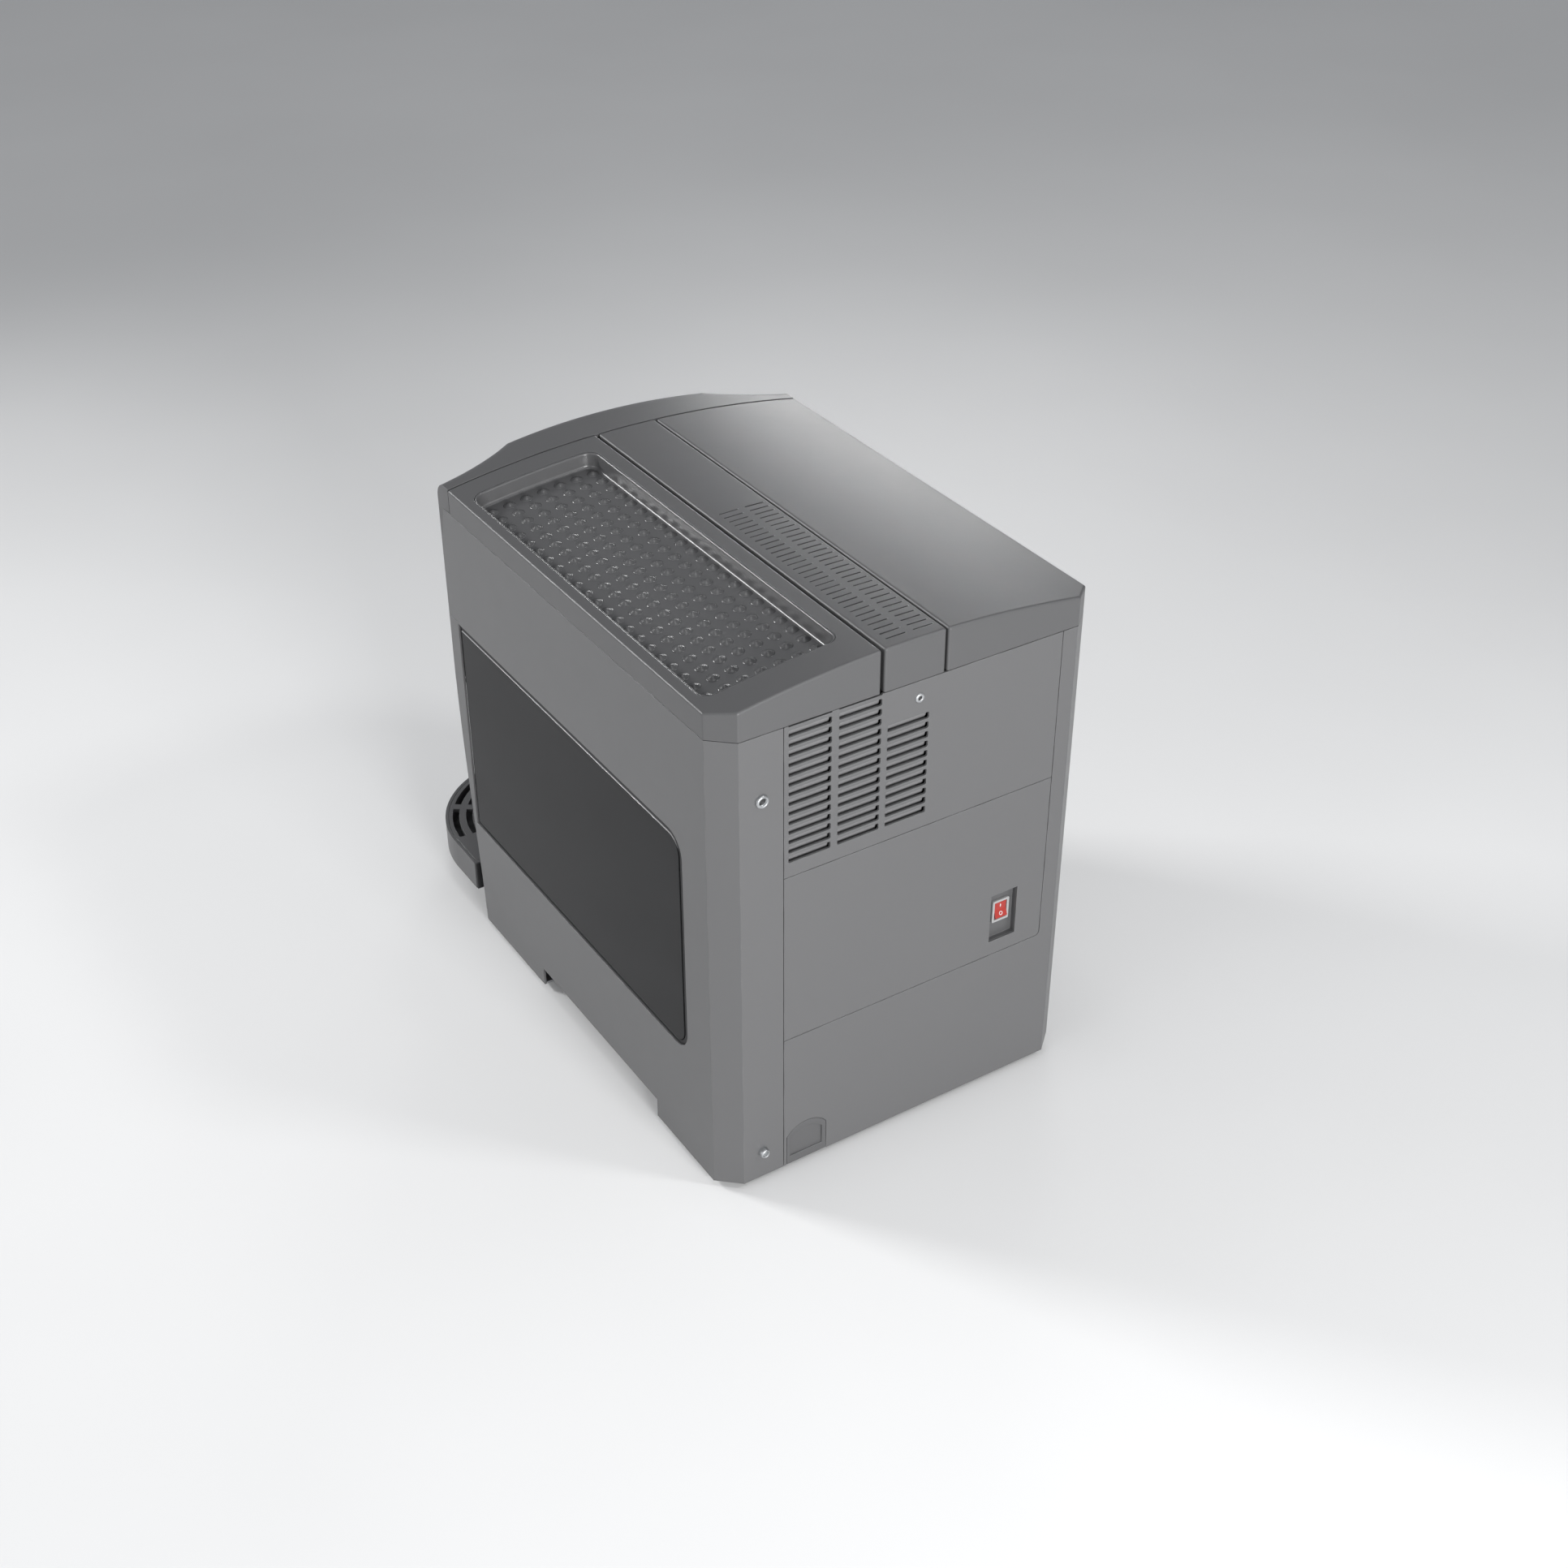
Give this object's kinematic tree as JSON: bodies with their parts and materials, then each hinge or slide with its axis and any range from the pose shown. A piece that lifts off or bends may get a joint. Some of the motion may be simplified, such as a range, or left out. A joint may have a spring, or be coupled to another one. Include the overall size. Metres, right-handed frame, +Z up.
{
  "type": "bean-to-cup coffee machine",
  "caption": "Table-top automatic coffee machine with a smoked side water tank, cup-warmer roof, vented back and round-cornered drip tray.",
  "frame": {"origin": "centre of the housing on the table, at the underside of the middle foot", "axes": "+Z up, -Y towards the front with the spout, +X towards the smoked water tank"},
  "size_m": [0.347, 0.602, 0.474],
  "materials": {
    "body_grey": "satin grey powder coat on bent sheet steel",
    "cover_grey": "fine-textured grey moulded plastic",
    "tray_metal": "pressed metal with a satin grey coat",
    "smoked_clear": "dark smoked transparent plastic, polished",
    "tank_clear": "clear grey tinted plastic",
    "black_plastic": "fine-grained black plastic",
    "black_gloss": "polished black display window",
    "red_rocker": "red translucent switch rocker",
    "chrome_trim": "polished chrome",
    "steel": "brushed stainless steel",
    "zinc_steel": "zinc plated sheet steel",
    "brass": "machined brass",
    "rubber": "moulded black rubber",
    "board_green": "circuit board with solder mask",
    "hose_white": "translucent silicone hose",
    "amber_clear": "smoked amber transparent plastic"
  },
  "bodies": {
    "housing": {"base_plate": "zinc_steel", "feet": "rubber", "right_panel": "body_grey", "left_panel": "body_grey", "rear_panel_vent": "body_grey", "vent_louvres": "body_grey", "rear_panel_middle": "body_grey", "rear_panel_lower": "body_grey", "rear_screws": "zinc_steel", "switch_well": "cover_grey", "switch_housing": "black_plastic", "mains_inlet": "black_plastic", "cup_cover": "cover_grey", "cup_tray": "tray_metal", "vent_cover": "cover_grey", "fascia": "cover_grey", "display_glass": "black_gloss", "control_board": "board_green", "bay_wall": "black_plastic", "spout_column": "black_plastic", "wand_socket": "black_plastic", "tray_supports": "zinc_steel", "drawer_bay": "black_plastic", "partition": "zinc_steel", "tank_bay": "black_plastic", "window_gasket": "rubber", "bean_hopper": "amber_clear", "hopper_deck": "black_plastic", "grinder": "black_plastic", "brew_group": "black_plastic", "boiler": "steel", "pump": "brass", "fan_frame": "black_plastic", "power_board": "board_green", "hoses": "hose_white"},
    "switch_rocker": {"switch_rocker": "red_rocker"},
    "cable_cover": {"cable_cover": "cover_grey"},
    "hopper_lid": {"hopper_lid": "cover_grey"},
    "key_espresso": {"key_espresso": "chrome_trim"},
    "key_coffee": {"key_coffee": "chrome_trim"},
    "key_water": {"key_water": "chrome_trim"},
    "key_power": {"key_power": "chrome_trim"},
    "steam_knob": {"steam_knob": "black_plastic"},
    "spout": {"spout_carriage": "cover_grey", "spout_nozzles": "steel"},
    "wand": {"steam_wand": "steel", "wand_grip": "rubber"},
    "drip_tray": {"drip_tray": "cover_grey", "tray_end_pads": "black_plastic"},
    "drip_grille": {"drip_grille": "cover_grey"},
    "tray_float": {"tray_float": "red_rocker"},
    "drawer": {"grounds_drawer": "black_plastic", "drawer_front": "cover_grey"},
    "water_tank": {"tank_window": "smoked_clear", "tank_shell": "tank_clear", "tank_filter": "cover_grey", "tank_valve": "rubber"},
    "grind_dial": {"grind_dial": "black_plastic"},
    "grinder_burr": {"grinder_burr": "steel"},
    "fan_rotor": {"fan_rotor": "black_plastic"}
  },
  "joints": [
    {"name": "rocker_tilt", "type": "hinge", "parent": "housing", "child": "switch_rocker", "pos_m": [-0.0998, 0.209, 0.1808], "axis": [-1, 0, 0], "range_deg": [0, 18]},
    {"name": "cable_cover_pull", "type": "slide", "parent": "housing", "child": "cable_cover", "axis": [0, 1, 0], "range_m": [0, 0.03]},
    {"name": "hopper_lid_hinge", "type": "hinge", "parent": "housing", "child": "hopper_lid", "pos_m": [-0.1, 0.2185, 0.4363], "axis": [-1, 0, 0], "range_deg": [0, 80]},
    {"name": "key_espresso_press", "type": "slide", "parent": "housing", "child": "key_espresso", "axis": [0, 1, 0], "range_m": [0, 0.0015], "stiffness_N_per_m": 350, "springref_m": -0.0005},
    {"name": "key_coffee_press", "type": "slide", "parent": "housing", "child": "key_coffee", "axis": [0, 1, 0], "range_m": [0, 0.0015], "stiffness_N_per_m": 350, "springref_m": -0.0005},
    {"name": "key_water_press", "type": "slide", "parent": "housing", "child": "key_water", "axis": [0, 1, 0], "range_m": [0, 0.0015], "stiffness_N_per_m": 350, "springref_m": -0.0005},
    {"name": "key_power_press", "type": "slide", "parent": "housing", "child": "key_power", "axis": [0, 1, 0], "range_m": [0, 0.0015], "stiffness_N_per_m": 350, "springref_m": -0.0005},
    {"name": "steam_knob_turn", "type": "hinge", "parent": "housing", "child": "steam_knob", "pos_m": [0.082, -0.27, 0.33], "axis": [0, -1, 0], "range_deg": [0, 270]},
    {"name": "spout_height", "type": "slide", "parent": "housing", "child": "spout", "axis": [0, 0, -1], "range_m": [0, 0.1]},
    {"name": "wand_swivel", "type": "hinge", "parent": "housing", "child": "wand", "pos_m": [0.118, -0.236, 0.252], "axis": [0, -1, 0], "range_deg": [0, 30]},
    {"name": "drip_tray_slide", "type": "slide", "parent": "housing", "child": "drip_tray", "axis": [0, -1, 0], "range_m": [0, 0.2]},
    {"name": "drip_grille_lift", "type": "slide", "parent": "drip_tray", "child": "drip_grille", "axis": [0, 0, 1], "range_m": [0, 0.03]},
    {"name": "tray_float_rise", "type": "slide", "parent": "drip_tray", "child": "tray_float", "axis": [0, 0, 1], "range_m": [0, 0.007]},
    {"name": "drawer_slide", "type": "slide", "parent": "housing", "child": "drawer", "axis": [0, -1, 0], "range_m": [0, 0.13]},
    {"name": "water_tank_slide", "type": "slide", "parent": "housing", "child": "water_tank", "axis": [1, 0, 0], "range_m": [0, 0.11]},
    {"name": "grind_dial_turn", "type": "hinge", "parent": "housing", "child": "grind_dial", "pos_m": [-0.11, 0.12, 0.437], "axis": [0, 0, 1], "range_deg": [-120, 120]},
    {"name": "grinder_spin", "type": "hinge", "parent": "housing", "child": "grinder_burr", "pos_m": [-0.11, -0.045, 0.338], "axis": [0, 0, 1], "continuous": true},
    {"name": "fan_spin", "type": "hinge", "parent": "housing", "child": "fan_rotor", "pos_m": [0.01, 0.19, 0.366], "axis": [0, 1, 0], "continuous": true}
  ]
}
